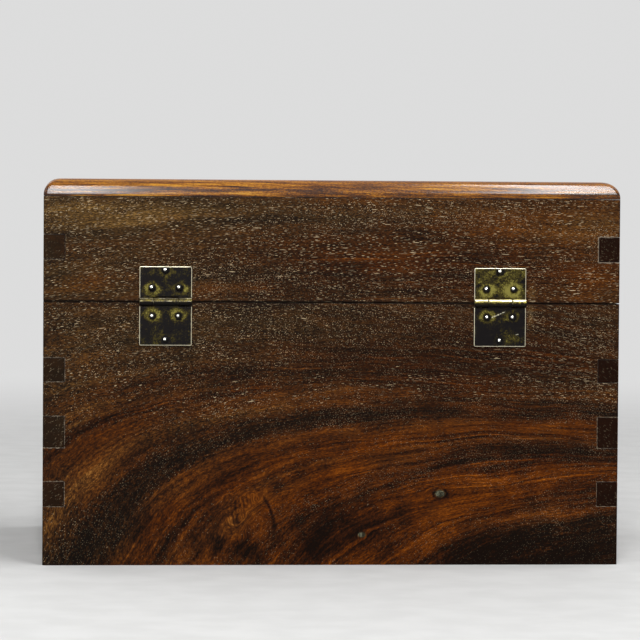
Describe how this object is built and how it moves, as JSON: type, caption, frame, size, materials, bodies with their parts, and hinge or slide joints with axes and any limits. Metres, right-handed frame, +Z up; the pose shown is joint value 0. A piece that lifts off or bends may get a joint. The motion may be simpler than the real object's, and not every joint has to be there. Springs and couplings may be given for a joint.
{
  "type": "hinged wooden box",
  "caption": "Hinged rectangular hardwood box with finger-jointed corners, a deep lid with rounded top edges, brass butt hinges and a brass hasp and staple.",
  "frame": {"origin": "on the table, under the middle of the case", "axes": "+X along the box's width, -Y out of the hinged back, +Y out of the hasp's front, +Z up"},
  "size_m": [0.3, 0.2124, 0.2],
  "materials": {
    "hardwood": "waxed gloss, dark red-brown hardwood with pale filled pores",
    "panel_wood": "dry planed hardwood, unpolished",
    "aged_brass": "rolled brass with dark patina and rubbed edges",
    "nail_brass": "domed brass, rubbed bright on top"
  },
  "bodies": {
    "case": {"case_back_board": "hardwood", "case_front_board": "hardwood", "case_left_board": "hardwood", "case_right_board": "hardwood", "case_bottom_panel": "panel_wood", "hinge_left_case_leaf": "aged_brass", "hinge_left_pin": "aged_brass", "hinge_left_case_nail_1": "nail_brass", "hinge_left_case_nail_2": "nail_brass", "hinge_left_case_nail_3": "nail_brass", "hinge_right_case_leaf": "aged_brass", "hinge_right_pin": "aged_brass", "hinge_right_case_nail_1": "nail_brass", "hinge_right_case_nail_2": "nail_brass", "hinge_right_case_nail_3": "nail_brass", "staple": "aged_brass"},
    "lid": {"lid_back_board": "hardwood", "lid_front_board": "hardwood", "lid_left_board": "hardwood", "lid_right_board": "hardwood", "lid_top_board": "hardwood", "hinge_left_lid_leaf": "aged_brass", "hinge_left_lid_nail_1": "nail_brass", "hinge_left_lid_nail_2": "nail_brass", "hinge_left_lid_nail_3": "nail_brass", "hinge_right_lid_leaf": "aged_brass", "hinge_right_lid_nail_1": "nail_brass", "hinge_right_lid_nail_2": "nail_brass", "hinge_right_lid_nail_3": "nail_brass", "hasp_leaf": "aged_brass", "hasp_pin": "aged_brass", "hasp_nail_1": "nail_brass", "hasp_nail_2": "nail_brass", "hasp_nail_3": "nail_brass"},
    "hasp": {"hasp_strap": "aged_brass"}
  },
  "joints": [
    {"name": "lid_hinge", "type": "hinge", "parent": "case", "child": "lid", "pos_m": [0, -0.10218, 0.1367], "axis": [1, 0, 0], "range_deg": [0, 175]},
    {"name": "hasp_hinge", "type": "hinge", "parent": "lid", "child": "hasp", "pos_m": [0, 0.10218, 0.1489], "axis": [1, 0, 0], "range_deg": [0, 175]}
  ]
}
